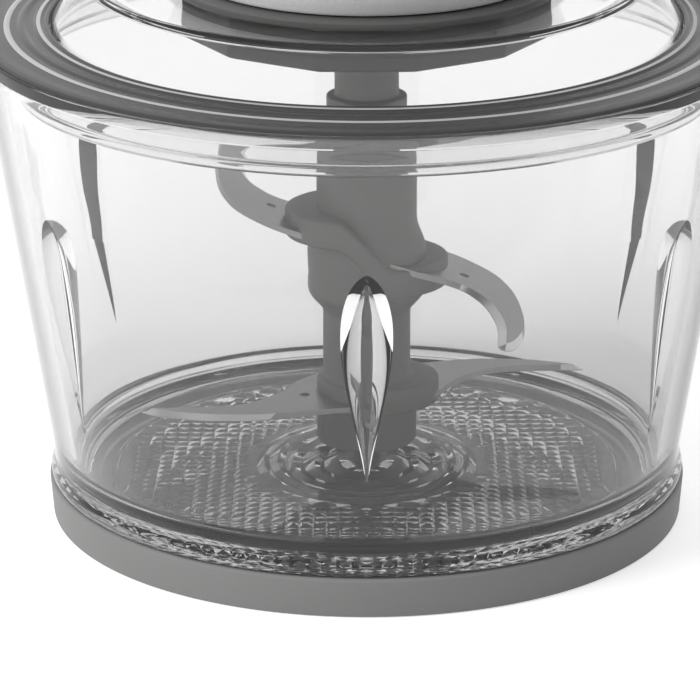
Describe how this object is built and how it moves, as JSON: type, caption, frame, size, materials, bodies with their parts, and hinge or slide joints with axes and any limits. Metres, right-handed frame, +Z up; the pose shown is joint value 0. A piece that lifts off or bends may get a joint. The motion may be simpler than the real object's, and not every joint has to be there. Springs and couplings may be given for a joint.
{
  "type": "food chopper",
  "caption": "Electric food chopper: ribbed clear glass bowl on a grey base, two-level S-shaped blades on a tall hub, clear lid with dark ringed seal, and a press-button drive head.",
  "frame": {"origin": "middle of the underside, on the surface it stands on", "axes": "+Z up along the blade axis, -Y to the front as pictured, cord inlet at +Y"},
  "size_m": [0.2, 0.2, 0.2743],
  "materials": {
    "ring_grey": "satin grey non-slip plastic",
    "foot_rubber": "matt black rubber",
    "bowl_glass": "clear pressed glass",
    "lid_clear": "clear moulded plastic",
    "seal_silicone": "dark grey silicone, satin",
    "blade_steel": "stamped stainless steel",
    "pin_steel": "turned steel",
    "hub_plastic": "grey moulded plastic",
    "head_dark": "dark grey moulded plastic",
    "head_light": "light silver housing",
    "button_plastic": "dark glossy plastic",
    "gear_nylon": "natural nylon",
    "iron": "laminated iron",
    "copper": "enamelled copper wire and copper bars",
    "brass": "turned or folded brass",
    "carbon": "carbon",
    "motor_plastic": "filled plastic",
    "board_green": "printed board",
    "switch_plastic": "black switch body"
  },
  "bodies": {
    "bowl": {"base_dish": "ring_grey", "glass_bowl": "bowl_glass", "pivot_pin": "pin_steel", "foot_pad_1": "foot_rubber", "foot_pad_2": "foot_rubber", "foot_pad_3": "foot_rubber", "foot_pad_4": "foot_rubber"},
    "blades": {"blade_hub": "hub_plastic", "blade_stem": "hub_plastic", "upper_blade": "blade_steel", "lower_blade": "blade_steel", "hub_bush": "brass"},
    "lid": {"lid_cover": "lid_clear", "lid_seal": "seal_silicone"},
    "head": {"head_base": "head_dark", "head_sleeve": "head_light", "top_cap": "head_dark", "button_spring": "pin_steel", "cord_gland": "foot_rubber", "stator_core": "iron", "field_coil_left": "copper", "field_coil_right": "copper", "brush_left": "carbon", "brush_right": "carbon", "brush_holder_left": "brass", "brush_holder_right": "brass", "lower_bearing": "pin_steel", "upper_bearing": "pin_steel", "motor_bracket": "motor_plastic", "gear_plate": "motor_plastic", "ring_gear": "gear_nylon", "gear_cover": "motor_plastic", "control_board": "board_green", "micro_switch": "switch_plastic", "motor_screw_1": "pin_steel", "motor_screw_2": "pin_steel", "motor_screw_3": "pin_steel", "motor_screw_4": "pin_steel", "case_screw_1": "pin_steel", "case_screw_2": "pin_steel", "case_screw_3": "pin_steel"},
    "button": {"press_button": "button_plastic"},
    "armature": {"armature_shaft": "pin_steel", "armature_core": "iron", "armature_winding": "copper", "commutator": "copper", "cooling_fan": "motor_plastic", "sun_pinion": "iron"},
    "carrier": {"planet_carrier": "iron", "planet_pin_1": "pin_steel", "planet_pin_2": "pin_steel", "planet_pin_3": "pin_steel"},
    "planet_1": {"planet_gear_1": "gear_nylon"},
    "planet_2": {"planet_gear_2": "gear_nylon"},
    "planet_3": {"planet_gear_3": "gear_nylon"}
  },
  "joints": [
    {"name": "lid_lift", "type": "slide", "parent": "bowl", "child": "lid", "axis": [0, 0, 1], "range_m": [0, 0.12]},
    {"name": "head_lift", "type": "slide", "parent": "lid", "child": "head", "axis": [0, 0, 1], "range_m": [0, 0.1]},
    {"name": "button_press", "type": "slide", "parent": "head", "child": "button", "axis": [0, 0, -1], "range_m": [0, 0.004], "stiffness_N_per_m": 600, "springref_m": -0.002, "deforming": ["button_spring"]},
    {"name": "armature_spin", "type": "hinge", "parent": "head", "child": "armature", "pos_m": [0, 0, 0.19], "axis": [0, 0, 1], "continuous": true},
    {"name": "carrier_spin", "type": "hinge", "parent": "head", "child": "carrier", "pos_m": [0, 0, 0.142], "axis": [0, 0, 1], "continuous": true},
    {"name": "blade_spin", "type": "hinge", "parent": "bowl", "child": "blades", "pos_m": [0, 0, 0.035], "axis": [0, 0, 1], "continuous": true},
    {"name": "planet_1_spin", "type": "hinge", "parent": "carrier", "child": "planet_1", "pos_m": [0, 0.015, 0.1477], "axis": [0, 0, 1], "continuous": true},
    {"name": "planet_2_spin", "type": "hinge", "parent": "carrier", "child": "planet_2", "pos_m": [-0.01299, -0.0075, 0.1477], "axis": [0, 0, 1], "continuous": true},
    {"name": "planet_3_spin", "type": "hinge", "parent": "carrier", "child": "planet_3", "pos_m": [0.01299, -0.0075, 0.1477], "axis": [0, 0, 1], "continuous": true}
  ],
  "couplings": [
    {"joint": "carrier_spin", "follows": "armature_spin", "ratio": 0.2},
    {"joint": "blade_spin", "follows": "armature_spin", "ratio": 0.2},
    {"joint": "planet_1_spin", "follows": "armature_spin", "ratio": -0.53333},
    {"joint": "planet_2_spin", "follows": "armature_spin", "ratio": -0.53333},
    {"joint": "planet_3_spin", "follows": "armature_spin", "ratio": -0.53333}
  ]
}
